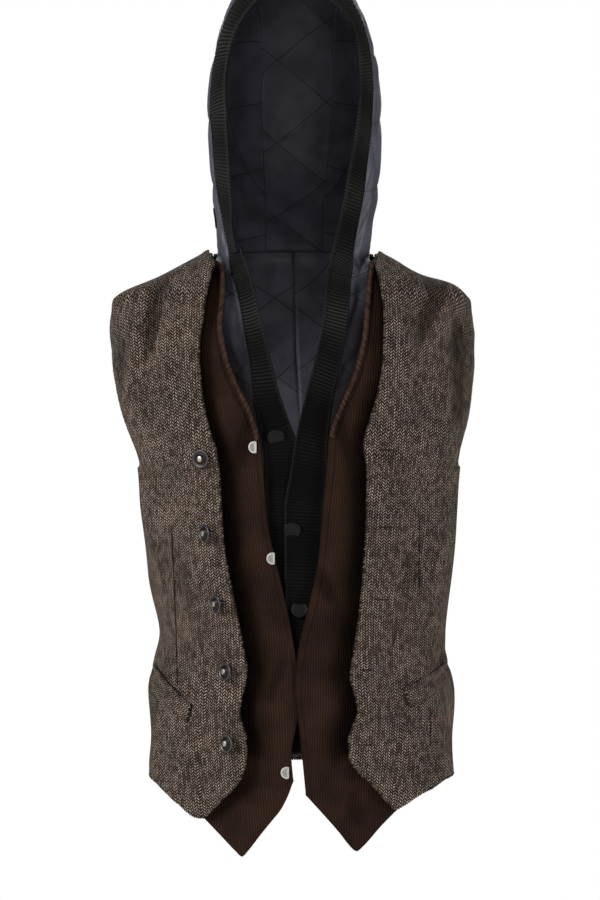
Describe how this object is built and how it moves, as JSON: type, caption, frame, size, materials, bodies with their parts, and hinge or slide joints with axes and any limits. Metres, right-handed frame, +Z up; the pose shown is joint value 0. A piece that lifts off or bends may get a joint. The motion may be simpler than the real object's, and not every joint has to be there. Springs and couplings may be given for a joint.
{
  "type": "hooded vest",
  "caption": "Sleeveless three-layer vest in worn form: open tweed front over pointed corduroy fronts and a closed quilted hooded liner with rib-knit trim.",
  "frame": {"origin": "centre of the base of the neck, where the wearer's shoulders carry the vest", "axes": "+Z up towards the hood, the front faces -Y, the wearer's right side is at -X"},
  "size_m": [0.4082, 0.2807, 1.005],
  "materials": {
    "tweed": "herringbone wool tweed, matt",
    "corduroy": "fine-wale cotton corduroy, matt pile",
    "nylon": "quilted nylon, soft sheen",
    "rib_knit": "rib knit, matt",
    "gunmetal": "dark plated, satin",
    "silver": "bright nickel, satin",
    "black_button": "polished"
  },
  "bodies": {
    "root": {"cord_binding_left": "corduroy", "cord_binding_right": "corduroy", "cord_front_left": "corduroy", "cord_front_right": "corduroy", "cord_stud_1": "silver", "cord_stud_2": "silver", "cord_stud_3": "silver", "hood_gusset": "nylon", "hood_side_left": "nylon", "hood_side_right": "nylon", "hood_tab": "rib_knit", "inner_button_1": "black_button", "inner_button_2": "black_button", "inner_button_3": "black_button", "nylon_back_left": "nylon", "nylon_back_right": "nylon", "nylon_front_left": "nylon", "nylon_front_right": "nylon", "rib_front_left": "rib_knit", "rib_front_right": "rib_knit", "rib_hood_band": "rib_knit", "tweed_back_left": "tweed", "tweed_back_right": "tweed", "tweed_button_1": "gunmetal", "tweed_button_2": "gunmetal", "tweed_button_3": "gunmetal", "tweed_button_4": "gunmetal", "tweed_button_5": "gunmetal", "tweed_front_left": "tweed", "tweed_front_right": "tweed", "tweed_welt_left": "tweed", "tweed_welt_right": "tweed"}
  },
  "joints": []
}
